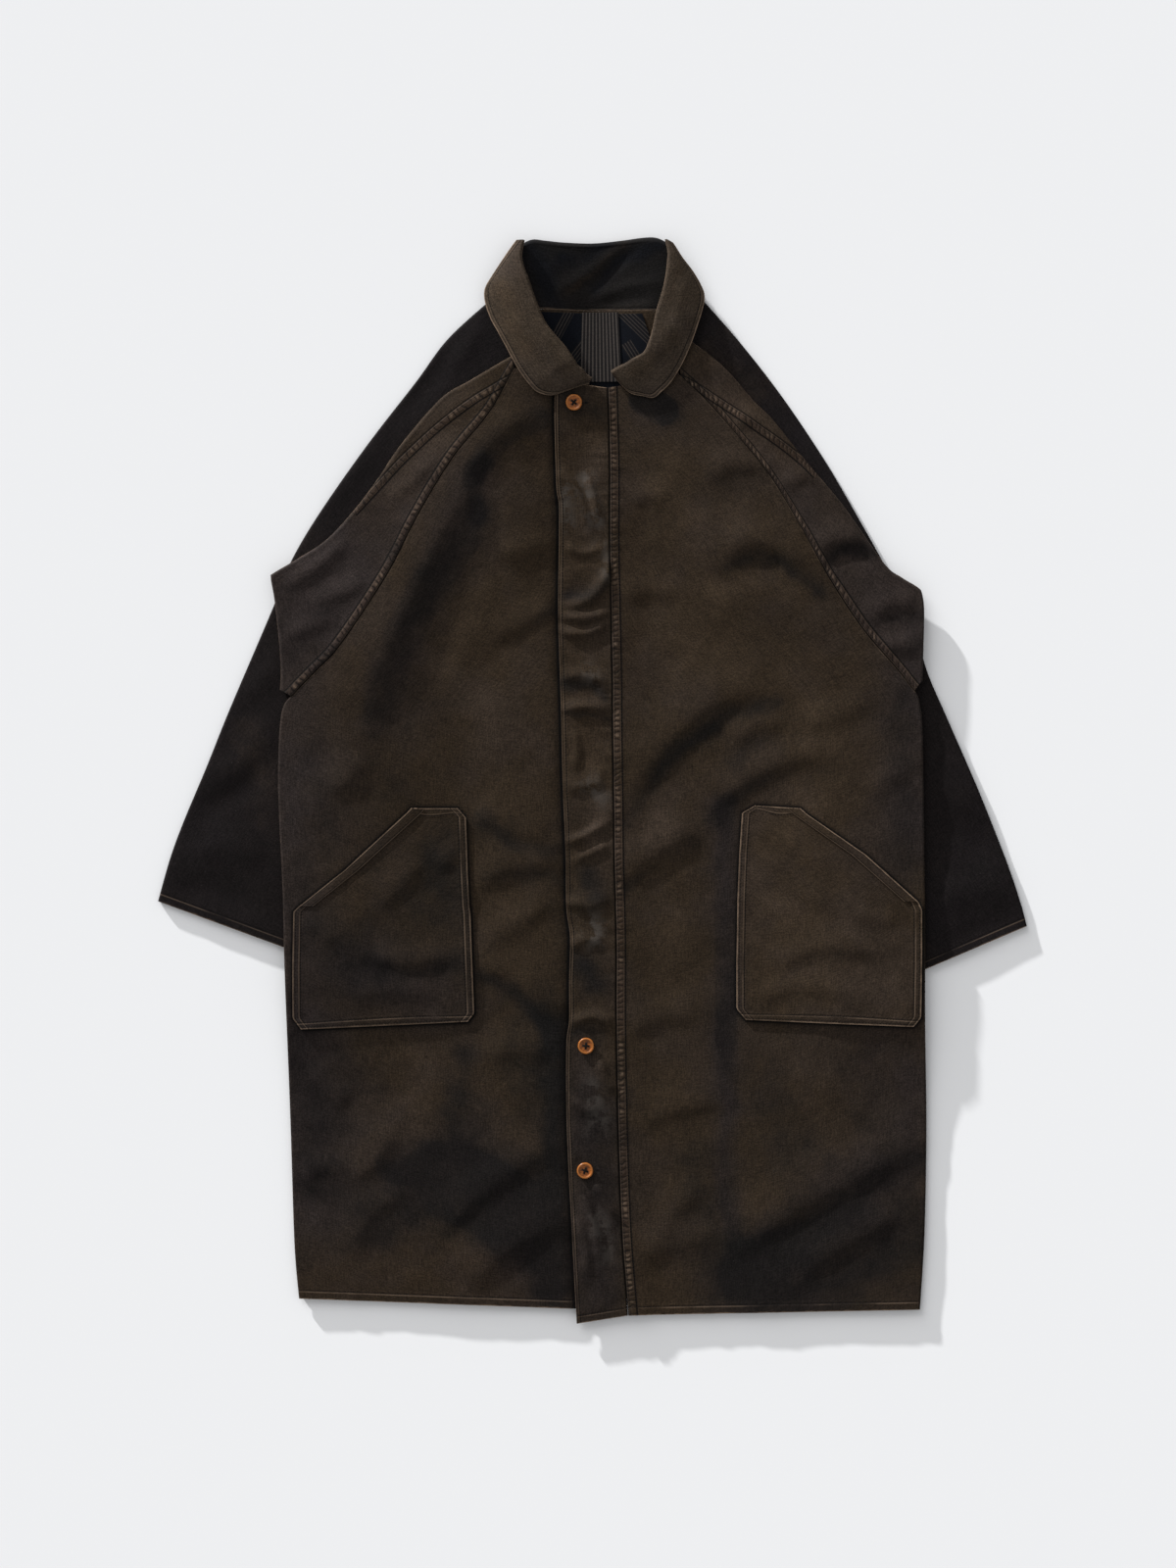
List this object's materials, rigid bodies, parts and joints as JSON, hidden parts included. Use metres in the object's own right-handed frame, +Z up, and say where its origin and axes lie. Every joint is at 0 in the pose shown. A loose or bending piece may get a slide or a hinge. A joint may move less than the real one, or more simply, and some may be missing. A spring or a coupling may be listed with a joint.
{
  "type": "overcoat",
  "caption": "Long raglan overcoat laid flat on its back, sleeves folded behind, with a rounded turn-down collar, covered front fastening and slant-mouthed patch pockets.",
  "frame": {"origin": "centre of the bounding box in X and Y, on the surface that the coat lies on", "axes": "+Y from the hem to the collar, +X to the wearer's left, +Z up from the surface"},
  "size_m": [0.9412, 1.1766, 0.026],
  "materials": {
    "shell": "faded waxed cotton twill",
    "lining": "matt striped cotton",
    "button": "polished amber-brown"
  },
  "bodies": {
    "root": {"back": "shell", "front_right": "shell", "front_left": "shell", "sleeve_right": "shell", "sleeve_left": "shell", "sleeve_front_right": "shell", "sleeve_front_left": "shell", "placket": "shell", "pocket_right": "shell", "pocket_left": "shell", "pocket_band_right": "shell", "pocket_band_left": "shell", "collar_leaf_right": "shell", "collar_leaf_left": "shell", "collar_back": "shell", "neck_lining": "lining", "neck_tape": "lining", "button_top": "button", "button_middle": "button", "button_bottom": "button"}
  },
  "joints": []
}
